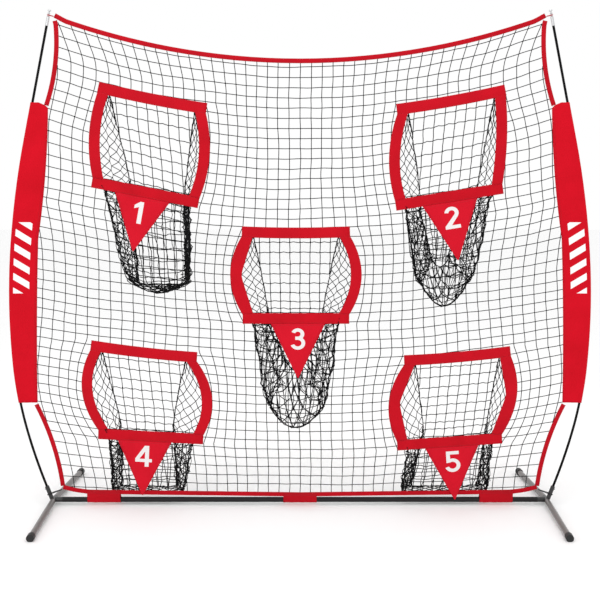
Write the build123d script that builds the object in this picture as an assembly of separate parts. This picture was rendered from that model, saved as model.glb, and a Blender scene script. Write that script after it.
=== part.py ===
from build123d import *
import math
import os

# Pitching target net: an 8 ft class bow net on a take-apart steel base.
# Millimetres. +X to the thrower's right, +Y away from the thrower, +Z up.
# The origin is on the floor, midway between the four feet.

# Base
corner_x = 1250.0
corner_z = 26.0
foot_x = 1226.0
foot_y = 515.0
foot_z = 16.5
leg_od = 28.0
leg_id = 25.0
arm_length = 160.0
arm_bore_start = 60.0
spigot_od = 24.6
spigot_id = 20.0
spigot_length = 52.0
cap_od = 36.0
cap_cover = 30.0
cap_wall = 4.0
fit_gap = 0.05
weld_lap = 5.0
hub_wall = 20.0
hole_past = 6.0
cut_past = 1.0

# Ground bar
bar_od = 26.0
bar_id = 23.0
bar_spigot_od = 22.6
bar_spigot_id = 18.0
bar_end_x = 1203.0
centre_spigot_in = 60.0
centre_spigot_out = 140.0
swage_bite = 0.2
swage_lap = 2.0

# Snap buttons
pin_r = 4.0
pin_hole_r = 4.2
pin_proud = 2.8
button_setback = 26.0
centre_button_x = 112.0
leaf_length = 22.0
leaf_width = 9.0
leaf_thick = 0.8
leaf_clear = 1.4
fixed_leaf_clear = 2.0
pin_chamfer = 1.2

# Bow poles, in the plane of the net. Each run is a length and the heading at its end, in
# degrees outward from vertical.
net_y = -18.0
pole_r = 6.0
socket_od = 21.0
socket_length = 80.0
socket_heading = 20.0
socket_floor = 16.0
bow_runs = [(80, 20), (300, 14), (330, 4), (620, -6), (500, -12.5), (586, -12.5)]
section_ends = [16, 800, 1600, 2416]
tip_base = 2380.0
groove_height = 50.0
groove_r = 3.6
shell_r = 7.4
ferrule_r = 7.6
ferrule_half = 40.0
screw_setback = 12.0
screw_r = 2.0
screw_head_r = 4.0
screw_head_height = 3.2
screw_tip_gap = 0.3

# The pole tip's turned outline, as (radius, height from the middle of its groove), upwards.
tip_bore_slack = 0.5
tip_outline = [
    (shell_r, -8), (groove_r, -4), (groove_r, 4), (6.5, 6), (6.5, 10), (3.2, 12), (3.2, 17),
    (8.5, 19), (8.5, 23), (5, 27), (0, 28),
]

# Net edge. Ends and middles of the arcs that the right-hand edge hangs in, from the top corner
# to the bottom corner: above the sleeve, the sleeve's two, and below the sleeve.
net_thick = 1.0
tape_half = 11.0
tape_thick = 2.4
top_middle_z = 2199.0
side_edge = [
    (1165, 2400), (1170, 2190), (1222, 1985), (1245, 1665), (1290, 1350), (1310, 940),
    (1320, 530), (1236, 310), (1195, 92),
]
bottom_edge = [(1195, 92), (1077, 72), (0, 58)]

# Sleeves, ground bands and corner loops
sleeve_r = 9.0
sleeve_bore_r = 8.0
sleeve_thick = 3.0
sleeve_low = 522.0
sleeve_high = 2012.0
band_half = 85.0
band_x = 992.0
band_gap = 0.4
band_thick = 1.5
band_tip_r = 1.0
band_inner_tip_r = 0.3
band_tip_depth = 5.0
loop_r = 2.0
loop_strand_gap = 0.3
loop_post_gap = 0.2
bottom_loop_height = 38.0
top_loop_out = 6.0
top_loop_up = 4.0

# Pockets. All are cut alike, and each is pulled a little by the net where it hangs.
# tilt: how far the top and bottom strips climb to the right, in degrees.
# lean: how far the pocket's foot swings to the right of plumb, in degrees.
# bulge: how far the left and right strips bow out past a straight line.
# foot: the bag's foot as its shift from the pocket's middle, its width and its height.
# flag: its length, and how far it is sewn to the right of the lower strip's middle.
strip_length = 526.0
rim_width = 50.0
rim_thick = 3.0
bag_wall = 1.2
bag_depth = 215.0
bag_top_depth = 24.0
bag_middle_share = 0.6
hanging_foot = (-12.0, 150.0)
grounded_foot = (18.0, 170.0)
flag_width = 270.0
flag_thick = 1.5
flag_y = net_y - rim_thick
flag_gap = 1.6
pockets = [
    dict(middle=(-730, 1800), height=505, tilt=(-11, -11), lean=-6, bulge=(30, 35),
         foot=(35, 300, 1075), foot_span=hanging_foot, flag=(270, -10)),
    dict(middle=(725, 1785), height=515, tilt=(10, 9), lean=1, bulge=(35, 15),
         foot=(-15, 235, 1010), foot_span=hanging_foot, flag=(290, 0)),
    dict(middle=(-20, 1170), height=480, tilt=(0, 0), lean=0, bulge=(60, 60),
         foot=(0, 260, 395), foot_span=hanging_foot, flag=(275, 10)),
    dict(middle=(-760, 575), height=485, tilt=(-6.5, -3), lean=2.5, bulge=(65, 60),
         foot=(-15, 350, 45), foot_span=grounded_foot, flag=(280, -30)),
    dict(middle=(765, 550), height=490, tilt=(5, 4), lean=-3, bulge=(60, 55),
         foot=(-30, 435, 45), foot_span=grounded_foot, flag=(275, 10)),
]


def save(shape, name):
    export_step(shape, f"parts/{name}.step")


def rod(start, end, radius):
    """A round bar from one point to another."""
    start = Vector(*start)
    end = Vector(*end)
    place = Plane(origin=start, z_dir=(end - start).normalized())
    return place * Cylinder(radius, (end - start).length, align=(Align.CENTER, Align.CENTER, Align.MIN))


def tube(start, end, outer_r, inner_r):
    return rod(start, end, outer_r) - rod(start, end, inner_r)


def along(start, direction, distance):
    return Vector(*start) + Vector(*direction) * distance


def flat(x, z):
    """A point of an outline, which is drawn at Y = 0 and moved once it is solid."""
    return Vector(x, 0, z)


def plate(edges, low_y, high_y):
    """A flat sheet in the net's plane, inside a closed run of edges."""
    face = make_face(edges).face()
    return Pos(0, low_y, 0) * extrude(face, amount=high_y - low_y, dir=(0, 1, 0))


def arc_beside(start, middle, end, distance):
    """An arc through three (x, z) points, moved out from its own centre by a distance."""
    points = [flat(*start), flat(*middle), flat(*end)]
    centre = ThreePointArc(*points).arc_center
    return ThreePointArc(*[p + (p - centre).normalized() * distance for p in points])


def arc_strip(start, middle, end, half, low_y, high_y):
    """A strip of even width along an arc."""
    outer = arc_beside(start, middle, end, half)
    inner = arc_beside(start, middle, end, -half)
    ends = [Line(outer @ 0, inner @ 0), Line(outer @ 1, inner @ 1)]
    return plate([outer, inner] + ends, low_y, high_y)


def straight_strip(start, end, half, low_y, high_y):
    """A strip of even width between two (x, z) points."""
    run = (flat(*end) - flat(*start)).normalized()
    across = Vector(-run.Z, 0, run.X) * half
    corners = [flat(*start) - across, flat(*end) - across, flat(*end) + across, flat(*start) + across]
    return plate(Polyline(*corners, close=True).edges(), low_y, high_y)


def mirror_points(points):
    return [(-x, z) for x, z in points]


# ---- Bow poles -------------------------------------------------------------

def bow_at(distance):
    """Point (x, z) and heading in degrees from vertical, at a distance along the right bow."""
    x = corner_x
    z = corner_z
    heading = socket_heading
    left = distance
    for length, end_heading in bow_runs:
        step = min(left, length)
        turn = (end_heading - heading) * step / length
        middle = math.radians(heading + turn / 2)
        half = math.radians(turn / 2)
        chord = step * (math.sin(half) / half if abs(half) > 1e-9 else 1)
        x += chord * math.sin(middle)
        z += chord * math.cos(middle)
        heading += turn
        left -= step
        if left <= 0:
            break
    return x, z, heading


def bow_point(distance, side):
    x, z, _ = bow_at(distance)
    return Vector(side * x, net_y, z)


def bow_direction(distance, side):
    heading = math.radians(bow_at(distance)[2])
    return Vector(side * math.sin(heading), 0, math.cos(heading))


def bow_stops(start, end):
    """Distances along the bow where its curve changes, with the two ends."""
    stops = [start]
    total = 0
    for length, _ in bow_runs:
        total += length
        if start < total < end:
            stops.append(total)
    return stops + [end]


def bow_edges(start, end, side):
    """The bow's line between two distances, as arcs and straight runs."""
    edges = []
    stops = bow_stops(start, end)
    for a, b in zip(stops, stops[1:]):
        ends = (bow_point(a, side), bow_point(b, side))
        if abs(bow_at(a)[2] - bow_at(b)[2]) < 1e-6:
            edges.append(Line(*ends))
        else:
            edges.append(ThreePointArc(ends[0], bow_point((a + b) / 2, side), ends[1]))
    return edges


def bow_rod(start, end, radius, side):
    """A round bar that follows the bow between two distances."""
    section = Plane(origin=bow_point(start, side), z_dir=bow_direction(start, side)) * Circle(radius)
    return sweep(section, path=Wire(bow_edges(start, end, side)))


def distance_at_height(height):
    low = 0.0
    high = sum(length for length, _ in bow_runs)
    for _ in range(40):
        middle = (low + high) / 2
        if bow_at(middle)[1] < height:
            low = middle
        else:
            high = middle
    return low


def pole_tip(side):
    """Turned metal tip: a shell over the pole's end, a neck, a collar and a domed top."""
    place = Plane(origin=bow_point(tip_base, side), z_dir=bow_direction(tip_base, side))
    bore_r = pole_r + fit_gap
    bore_end = section_ends[-1] - tip_base + tip_bore_slack
    bore = [(0, bore_end), (bore_r, bore_end), (bore_r, 0), (shell_r, 0)]
    outline = [(radius, groove_height + height) for radius, height in tip_outline]
    profile = Polyline(*bore, *outline, close=True)
    turned = revolve(make_face(Plane.XZ * profile), Axis.Z, 360)
    return place * turned


# ---- Steel base ------------------------------------------------------------

def leg_line(side, front):
    start = Vector(side * corner_x, 0, corner_z)
    end = Vector(side * foot_x, -foot_y if front else foot_y, foot_z)
    return start, (end - start).normalized(), (end - start).length


def outward(direction, side):
    """The direction square to a leg that points away from the net's middle."""
    sideways = Vector(side, 0, 0)
    return (sideways - direction * sideways.dot(direction)).normalized()


def button_seats():
    """Every snap joint: name, centre on the tube's axis, tube direction, button direction, radii."""
    seats = []
    for side, word in ((-1, "left"), (1, "right")):
        for front, end in ((True, "front"), (False, "rear")):
            start, direction, _ = leg_line(side, front)
            centre = along(start, direction, arm_length + button_setback)
            out = outward(direction, side)
            seats.append((f"{end}_{word}", centre, direction, out, leg_od / 2, spigot_id / 2))
        centre = Vector(side * (bar_end_x - button_setback), 0, corner_z)
        seats.append((f"bar_{word}", centre, Vector(1, 0, 0), Vector(0, 1, 0), bar_od / 2, bar_spigot_id / 2))
    centre = Vector(centre_button_x, 0, corner_z)
    seats.append(("bar_centre", centre, Vector(1, 0, 0), Vector(0, 1, 0), bar_od / 2, bar_spigot_id / 2))
    return seats


def button_holes():
    holes = []
    for _, centre, _, out, outer_r, _ in button_seats():
        holes.append(rod(centre, along(centre, out, outer_r + hole_past), pin_hole_r))
    return holes


def leaf_blank():
    return Box(leaf_length, leaf_width, leaf_thick, align=(Align.CENTER, Align.CENTER, Align.MIN))


def snap_button(centre, direction, out, outer_r, inner_r):
    """A chamfered pin on the moving leaf of its spring clip."""
    top = outer_r + pin_proud
    leaf_top = inner_r - leaf_clear
    pin = rod(along(centre, out, leaf_top - leaf_thick), along(centre, out, top), pin_r)
    pin = chamfer(pin.faces().sort_by(Axis(centre, out))[-1].edges(), pin_chamfer)
    leaf_plane = Plane(origin=along(centre, out, leaf_top - leaf_thick), x_dir=direction, z_dir=out)
    return pin + leaf_plane * leaf_blank()


def spring_leaf(centre, direction, out, inner_r):
    """The clip's fixed leaf, against the far wall of the spigot."""
    seat = along(centre, out, fixed_leaf_clear - inner_r)
    place = Plane(origin=seat, x_dir=direction, z_dir=out)
    return place * leaf_blank()


def corner_fitting(side):
    body = None
    bores = []
    for front in (True, False):
        start, direction, _ = leg_line(side, front)
        shoulder = along(start, direction, arm_length)
        tip = along(start, direction, arm_length + spigot_length)
        arm = rod(start, shoulder, leg_od / 2)
        arm += rod(along(shoulder, direction, -weld_lap), tip, spigot_od / 2)
        body = arm if body is None else body + arm
        bore_start = along(start, direction, arm_bore_start)
        bores.append(rod(bore_start, along(tip, direction, cut_past), spigot_id / 2))
    hub = (side * corner_x, 0, corner_z)
    body += rod(hub, (side * bar_end_x, 0, corner_z), bar_od / 2)
    spigot_end = side * (bar_end_x - spigot_length)
    body += rod((side * (bar_end_x + weld_lap), 0, corner_z), (spigot_end, 0, corner_z), bar_spigot_od / 2)
    bore_start = (side * (bar_end_x + hub_wall), 0, corner_z)
    bores.append(rod(bore_start, (spigot_end - side * cut_past, 0, corner_z), bar_spigot_id / 2))
    foot = bow_point(0, side)
    direction = bow_direction(0, side)
    body += rod(foot, along(foot, direction, socket_length), socket_od / 2)
    socket_end = along(foot, direction, socket_length + cut_past)
    bores.append(rod(along(foot, direction, socket_floor), socket_end, pole_r + fit_gap))
    for bore in bores:
        body -= bore
    return body


def leg_tube(side, front):
    start, direction, length = leg_line(side, front)
    end = along(start, direction, length - cap_wall)
    return tube(along(start, direction, arm_length), end, leg_od / 2, leg_id / 2)


def leg_cap(side, front):
    """Cup over the tube's end, with a flat sole on the floor."""
    start, direction, length = leg_line(side, front)
    inner = along(start, direction, length - cap_wall - cap_cover)
    cup = rod(inner, along(start, direction, length), cap_od / 2)
    tube_end = along(start, direction, length - cap_wall)
    cup -= rod(along(inner, direction, -cut_past), tube_end, leg_od / 2 + fit_gap)
    below = Pos(side * foot_x, (-foot_y if front else foot_y), -cap_od) * Box(*[2 * cap_od] * 3)
    return cup - below


def base_bar(side):
    body = tube((side * bar_end_x, 0, corner_z), (0, 0, corner_z), bar_od / 2, bar_id / 2)
    if side < 0:
        inside = (-centre_spigot_in, 0, corner_z)
        outside = (centre_spigot_out, 0, corner_z)
        body += tube(inside, (0, 0, corner_z), bar_id / 2 + swage_bite, bar_spigot_id / 2)
        body += tube((-swage_lap, 0, corner_z), outside, bar_spigot_od / 2, bar_spigot_id / 2)
    return body


def screw_seat(side):
    """Where the socket's screw crosses the pole's axis, and the way it points out."""
    foot = bow_point(0, side)
    direction = bow_direction(0, side)
    return along(foot, direction, socket_length - screw_setback), outward(direction, side)


def socket_screw(side):
    """Pan head screw in the outer side of the socket."""
    seat, out = screw_seat(side)
    surface = socket_od / 2
    shank = rod(along(seat, out, pole_r + screw_tip_gap), along(seat, out, surface), screw_r)
    head = rod(along(seat, out, surface), along(seat, out, surface + screw_head_height), screw_head_r)
    return shank + head


def socket_screw_hole(side):
    seat, out = screw_seat(side)
    outside = along(seat, out, socket_od / 2 + cut_past)
    return rod(along(seat, out, pole_r - cut_past), outside, screw_r + fit_gap)


# ---- Net, tapes, sleeves ---------------------------------------------------

def top_arc():
    """Ends and middle of the arc that the top edge hangs in."""
    end_x, end_z = side_edge[0]
    return [(-end_x, end_z), (0, top_middle_z), (end_x, end_z)]


def bottom_points():
    """The bottom edge, straight between the bands that hold it."""
    return mirror_points(bottom_edge) + bottom_edge[-2::-1]


def side_arcs(side):
    """The four arcs of one side edge, as (start, middle, end), from the top down."""
    points = side_edge if side > 0 else mirror_points(side_edge)
    return [points[i:i + 3] for i in range(0, len(points) - 1, 2)]


def net_outline():
    edges = [arc_beside(*top_arc(), 0)]
    for side in (-1, 1):
        edges += [arc_beside(*run, 0) for run in side_arcs(side)]
    points = [flat(x, z) for x, z in bottom_points()]
    return edges + Polyline(*points).edges()


def rim_corners(pocket, inset):
    """A rim's corners and its bulge points, moved in by a distance, clockwise from the top left."""
    middle_x, middle_z = pocket["middle"]
    lean = math.radians(pocket["lean"])
    corners = []
    for up, tilt in zip((1, -1), pocket["tilt"]):
        reach = up * pocket["height"] / 2 - up * inset / math.cos(math.radians(tilt))
        x = middle_x - reach * math.sin(lean)
        z = middle_z + reach * math.cos(lean)
        run = (strip_length / 2 - inset) * math.cos(math.radians(tilt))
        climb = (strip_length / 2 - inset) * math.sin(math.radians(tilt))
        corners += [(x - run, z - climb), (x + run, z + climb)]
    top_left, top_right, low_left, low_right = corners
    left_bulge, right_bulge = pocket["bulge"]
    left = ((top_left[0] + low_left[0]) / 2 - left_bulge, (top_left[1] + low_left[1]) / 2)
    right = ((top_right[0] + low_right[0]) / 2 + right_bulge, (top_right[1] + low_right[1]) / 2)
    return top_left, top_right, right, low_right, low_left, left


def rim_outline(pocket, inset):
    """Straight top and bottom edges, with the two sides bowed out between them."""
    top_left, top_right, right, low_right, low_left, left = [
        flat(x, z) for x, z in rim_corners(pocket, inset)]
    return [
        Line(top_left, top_right), ThreePointArc(top_right, right, low_right),
        Line(low_right, low_left), ThreePointArc(low_left, left, top_left),
    ]


def pocket_rim(pocket):
    front = net_y - rim_thick
    opening = plate(rim_outline(pocket, rim_width), front - cut_past, net_y + cut_past)
    return plate(rim_outline(pocket, 0), front, net_y) - opening


def net_panel():
    body = plate(net_outline(), net_y, net_y + net_thick)
    for pocket in pockets:
        opening = rim_outline(pocket, rim_width)
        body -= plate(opening, net_y - cut_past, net_y + net_thick + cut_past)
    return body


def curved_tape(start, middle, end):
    return arc_strip(start, middle, end, tape_half, net_y - tape_thick / 2, net_y + tape_thick / 2)


def low_tape():
    """The bottom tape: straight runs joined at the bands."""
    front = net_y - tape_thick / 2
    points = bottom_points()
    body = None
    for start, end in zip(points, points[1:]):
        run = straight_strip(start, end, tape_half, front, front + tape_thick)
        body = run if body is None else body + run
    for x, z in points[1:-1]:
        body += Pos(x, front, z) * Rot(-90, 0, 0) * Cylinder(
            tape_half, tape_thick, align=(Align.CENTER, Align.CENTER, Align.MIN))
    return body


def bottom_height(x):
    """Height of the bottom edge at a distance from the middle."""
    for (x1, z1), (x0, z0) in zip(bottom_edge, bottom_edge[1:]):
        if x0 <= abs(x) <= x1:
            return z0 + (z1 - z0) * (abs(x) - x0) / (x1 - x0)
    return bottom_edge[-1][1]


def mouth_quad(left, right, front, back):
    points = [(left[0], front, left[1]), (right[0], front, right[1])]
    points += [(right[0], back, right[1]), (left[0], back, left[1])]
    return make_face(Polyline(*points, close=True))


def bag_shape(pocket, inset):
    """The bag's form: it leans back from the top edge, then narrows below the opening."""
    shift, width, foot_z = pocket["foot"]
    foot_front, foot_back = pocket["foot_span"]
    foot_middle = pocket["middle"][0] + shift
    top_left, top_right, right, low_right, low_left, left = rim_corners(pocket, rim_width / 2)
    face_y = net_y + net_thick + inset
    levels = [
        mouth_quad((top_left[0] + inset, top_left[1] - inset), (top_right[0] - inset, top_right[1] - inset),
                   face_y, face_y + bag_top_depth - inset),
        mouth_quad((left[0] + inset, left[1]), (right[0] - inset, right[1]),
                   face_y, net_y + bag_depth * bag_middle_share - inset),
        mouth_quad((low_left[0] + inset, low_left[1] - rim_width / 2),
                   (low_right[0] - inset, low_right[1] - rim_width / 2),
                   face_y, net_y + bag_depth - inset),
        mouth_quad((foot_middle - width / 2 + inset, foot_z + inset),
                   (foot_middle + width / 2 - inset, foot_z + inset),
                   foot_front + inset, foot_back - inset),
    ]
    return loft(levels, ruled=True)


def pocket_bag(pocket):
    body = bag_shape(pocket, 0) - bag_shape(pocket, bag_wall)
    back = net_y + net_thick + bag_wall + cut_past
    return body - plate(rim_outline(pocket, rim_width), net_y - cut_past, back)


def flag(pocket):
    """Triangle that hangs square to the rim's lower edge."""
    length, shift = pocket["flag"]
    corners = rim_corners(pocket, 0)
    low_right = flat(*corners[3])
    low_left = flat(*corners[4])
    run = (low_right - low_left).normalized()
    down = Vector(run.Z, 0, -run.X)
    middle = (low_left + low_right) * 0.5 + run * shift + down * flag_gap
    top = [middle - run * (flag_width / 2), middle + run * (flag_width / 2)]
    outline = Polyline(*top, middle + down * length, close=True).edges()
    return plate(outline, flag_y, flag_y + flag_thick)


def sleeve(side):
    """Fabric tube round the bow, with a flat web out to the net's edge."""
    start = distance_at_height(sleeve_low)
    end = distance_at_height(sleeve_high)
    edges = [Pos(0, -net_y, 0) * edge for edge in bow_edges(start, end, side)]
    upper, lower = [arc_beside(*run, 0) for run in side_arcs(side)[1:3]]
    closing = [Line(edges[0] @ 0, lower @ 1), Line(edges[-1] @ 1, upper @ 0)]
    edges += [lower, upper] + closing
    web = plate(edges, net_y - sleeve_thick / 2, net_y + sleeve_thick / 2)
    body = web + bow_rod(start, end, sleeve_r, side)
    return body - bow_rod(start - cut_past, end + cut_past, sleeve_bore_r, side)


def bar_band(middle_x):
    """Webbing loop from the bottom tape round the bar."""
    hang = bottom_height(middle_x) - tape_half

    def teardrop(radius, tip_r, tip_z):
        ring = Pos(0, corner_z) * Circle(radius)
        point = Pos(net_y, tip_z) * Circle(tip_r)
        return make_hull(ring.edges() + point.edges())

    inner_r = bar_od / 2 + band_gap
    outer = teardrop(inner_r + band_thick, band_tip_r, hang - band_tip_r)
    inner = teardrop(inner_r, band_inner_tip_r, hang - band_tip_depth)
    section = Plane.YZ * (outer - inner)
    return Pos(middle_x - band_half, 0, 0) * extrude(section, 2 * band_half)


def corner_loop(anchor, centre, direction, wrap_r):
    """Elastic loop from a net corner round a post, square to the post."""
    toward = Vector(*anchor) - Vector(*centre)
    toward -= Vector(*direction) * toward.dot(Vector(*direction))
    reach = toward.length
    place = Plane(origin=centre, x_dir=toward.normalized(), z_dir=direction)
    spread = loop_r + loop_strand_gap
    alpha = math.atan2(spread, reach)
    distance = math.hypot(reach, spread)
    touch = alpha + math.acos(wrap_r / distance)
    upper = (wrap_r * math.cos(touch), wrap_r * math.sin(touch))
    lower = (upper[0], -upper[1])
    path = Wire([
        Line((reach, spread), upper),
        ThreePointArc(upper, (-wrap_r, 0), lower),
        Line(lower, (reach, -spread)),
    ])
    start = Plane(origin=(reach, spread, 0), z_dir=Vector(upper[0] - reach, upper[1] - spread, 0))
    return place * sweep(start * Circle(loop_r), path=path)


# ---- Build every piece -----------------------------------------------------

os.makedirs("parts", exist_ok=True)
holes = button_holes()
sides = ((-1, "left"), (1, "right"))

for side, word in sides:
    fitting = corner_fitting(side) - socket_screw_hole(side)
    for hole in holes:
        fitting -= hole
    save(fitting, f"corner_fitting_{word}")
    bar = base_bar(side)
    for hole in holes:
        bar -= hole
    save(bar, f"base_bar_{word}")
    for front, end in ((True, "front"), (False, "rear")):
        leg = leg_tube(side, front)
        for hole in holes:
            leg -= hole
        save(leg, f"{end}_leg_{word}")
        save(leg_cap(side, front), f"{end}_cap_{word}")
    for name, start, end in zip(("lower", "middle", "upper"), section_ends, section_ends[1:]):
        save(bow_rod(start, end, pole_r, side), f"pole_{name}_{word}")
    save(pole_tip(side), f"pole_tip_{word}")

leaves = []
for name, centre, direction, out, outer_r, inner_r in button_seats():
    save(snap_button(centre, direction, out, outer_r, inner_r), f"snap_button_{name}")
    leaves.append(spring_leaf(centre, direction, out, inner_r))
save(Compound(children=leaves), "snap_springs")

save(Compound(children=[socket_screw(side) for side, _ in sides]), "socket_screws")

ferrules = []
for side, _ in sides:
    for joint in section_ends[1:3]:
        outer = bow_rod(joint - ferrule_half, joint + ferrule_half, ferrule_r, side)
        reach = ferrule_half + cut_past
        inner = bow_rod(joint - reach, joint + reach, pole_r + fit_gap, side)
        ferrules.append(outer - inner)
save(Compound(children=ferrules), "pole_ferrules")

top_tape = curved_tape(*top_arc())
bottom_tape = low_tape()
save(top_tape, "top_tape")
save(bottom_tape, "bottom_tape")
panel = net_panel() - top_tape - bottom_tape
for side, word in sides:
    cover = sleeve(side)
    save(cover, f"sleeve_{word}")
    panel -= cover
    strips = []
    for run in (side_arcs(side)[0], side_arcs(side)[3]):
        strip = curved_tape(*run) - top_tape - bottom_tape - cover
        strips.append(strip.solids().sort_by(SortBy.VOLUME)[-1])
    for strip in strips:
        panel -= strip
    save(Compound(children=strips), f"side_tape_{word}")
save(panel.solids().sort_by(SortBy.VOLUME)[-1], "net_panel")

for word, middle_x in (("left", -band_x), ("centre", 0), ("right", band_x)):
    save(bar_band(middle_x) - bottom_tape, f"bar_band_{word}")

for number, pocket in enumerate(pockets, 1):
    save(pocket_rim(pocket), f"pocket_rim_{number}")
    save(pocket_bag(pocket), f"pocket_bag_{number}")
    save(flag(pocket), f"flag_{number}")

for side, word in sides:
    low_x, low_z = side_edge[-1]
    post_r = socket_od / 2 + loop_r + loop_post_gap
    place = (bow_point(bottom_loop_height, side), bow_direction(bottom_loop_height, side))
    save(corner_loop((side * (low_x + tape_half), net_y, low_z), *place, post_r), f"bottom_loop_{word}")
    high_x, high_z = side_edge[0]
    direction = bow_direction(tip_base, side)
    place = (bow_point(tip_base, side) + direction * groove_height, direction)
    anchor = (side * (high_x + top_loop_out), net_y, high_z + tape_half + top_loop_up)
    save(corner_loop(anchor, *place, groove_r + loop_r + loop_post_gap), f"top_loop_{word}")
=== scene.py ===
import bmesh
import bpy
import math
import numpy as np
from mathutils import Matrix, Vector, noise
from mathutils.bvhtree import BVHTree


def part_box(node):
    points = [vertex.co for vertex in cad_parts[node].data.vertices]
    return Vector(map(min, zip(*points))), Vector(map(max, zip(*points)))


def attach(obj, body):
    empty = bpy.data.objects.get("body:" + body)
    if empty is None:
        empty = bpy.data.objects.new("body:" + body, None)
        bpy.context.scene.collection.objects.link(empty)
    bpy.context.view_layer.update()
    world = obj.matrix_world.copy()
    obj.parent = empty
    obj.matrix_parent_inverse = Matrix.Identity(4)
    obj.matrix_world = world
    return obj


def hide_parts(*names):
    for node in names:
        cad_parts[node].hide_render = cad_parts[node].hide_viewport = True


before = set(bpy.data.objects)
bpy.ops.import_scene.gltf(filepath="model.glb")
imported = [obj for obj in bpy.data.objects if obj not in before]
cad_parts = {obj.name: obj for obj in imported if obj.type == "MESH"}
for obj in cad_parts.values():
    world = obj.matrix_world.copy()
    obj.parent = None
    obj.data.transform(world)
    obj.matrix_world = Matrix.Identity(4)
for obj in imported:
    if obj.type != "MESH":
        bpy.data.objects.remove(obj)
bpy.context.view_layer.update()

# ---- Studio -------------------------------------------------------------------
# A camera at a standing person's eye height, square to the net, with a broad
# soft light overhead, a front fill and a pale floor.


def linear(code):
    """An sRGB hex colour as linear RGBA."""
    values = [int(code[i:i + 2], 16) / 255 for i in (1, 3, 5)]
    values = [v / 12.92 if v <= 0.04045 else ((v + 0.055) / 1.055) ** 2.4 for v in values]
    return (*values, 1.0)


def add(tree, kind, inputs=None, **settings):
    """Add a node, set its settings, and set or link its inputs."""
    new = tree.nodes.new(kind)
    for key, value in settings.items():
        setattr(new, key, value)
    for key, value in (inputs or {}).items():
        if isinstance(value, bpy.types.NodeSocket):
            tree.links.new(value, new.inputs[key])
        else:
            new.inputs[key].default_value = value
    return new


def start_material(name, **shader):
    material = bpy.data.materials.new(name)
    material.use_nodes = True
    tree = material.node_tree
    bsdf = tree.nodes["Principled BSDF"]
    for key, value in shader.items():
        bsdf.inputs[key.replace("_", " ")].default_value = value
    return material, tree, bsdf


def new_object(name, data):
    made = bpy.data.objects.new(name, data)
    bpy.context.scene.collection.objects.link(made)
    return made


def area_light(name, place, aim, size, power):
    light = bpy.data.lights.new(name, "AREA")
    light.shape = "RECTANGLE"
    light.size, light.size_y = size
    light.energy = power
    lamp = new_object(name, light)
    lamp.location = place
    lamp.rotation_euler = (Vector(aim) - Vector(place)).to_track_quat("-Z", "Y").to_euler()


camera_data = bpy.data.cameras.new("camera")
camera_data.lens = 57.0
camera_data.sensor_width = 36.0
camera = new_object("camera", camera_data)
camera.location = (0, -4.665, 1.61)
camera.rotation_euler = (math.radians(90 - 6.902), 0, 0)
bpy.context.scene.camera = camera
bpy.context.scene.view_settings.view_transform = "Standard"

area_light("overhead", (0, -1.5, 5.0), (0, 0, 1.0), (5, 4), 55)
area_light("front_fill", (-2.5, -5.5, 3.0), (0, 0, 1.1), (3, 3), 40)
world = bpy.data.worlds.new("studio")
world.use_nodes = True
world.node_tree.nodes["Background"].inputs["Color"].default_value = linear("#ffffff")
world.node_tree.nodes["Background"].inputs["Strength"].default_value = 1.0
bpy.context.scene.world = world

floor_data = bpy.data.meshes.new("floor")
floor_data.from_pydata([(-30, -30, 0), (30, -30, 0), (30, 30, 0), (-30, 30, 0)], [], [(0, 1, 2, 3)])
floor_paint = start_material("pale_studio_floor", Base_Color=linear("#fbfbfb"), Roughness=0.9)[0]
floor_data.materials.append(floor_paint)
floor = new_object("floor", floor_data)

# ---- Steel base ---------------------------------------------------------------
# Two welded corners, four legs and a ground bar in two halves, of thin drawn
# steel tube, powder coated. The legs push on over sprung zinc-plated buttons.


def coated_steel(name, dark, light, roughness, coat=0.3, specular=0.5):
    """Powder coat on steel: an even satin skin with orange peel about 2 mm across that softens highlights."""
    material, tree, bsdf = start_material(
        name, Roughness=roughness, Coat_Weight=coat, Coat_Roughness=0.2, Specular_IOR_Level=specular)
    place = add(tree, "ShaderNodeTexCoord").outputs["Object"]
    patches = add(tree, "ShaderNodeTexNoise", {"Vector": place, "Scale": 14.0, "Detail": 3.0})
    tint = add(tree, "ShaderNodeMix", {"Factor": patches.outputs["Fac"]}, data_type="RGBA")
    tint.inputs["A"].default_value = linear(dark)
    tint.inputs["B"].default_value = linear(light)
    tree.links.new(tint.outputs["Result"], bsdf.inputs["Base Color"])
    peel = add(tree, "ShaderNodeTexNoise", {"Vector": place, "Scale": 480.0, "Detail": 2.0})
    bump = add(tree, "ShaderNodeBump", {"Height": peel.outputs["Fac"], "Strength": 0.25, "Distance": 0.0004})
    tree.links.new(bump.outputs["Normal"], bsdf.inputs["Normal"])
    return material, tree, bsdf, place, tint


def finish_nodes(prefixes, material):
    """Give every CAD node whose name starts so a better material."""
    for name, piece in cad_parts.items():
        if name.startswith(prefixes):
            for holder in piece.material_slots:
                holder.material = material


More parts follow.
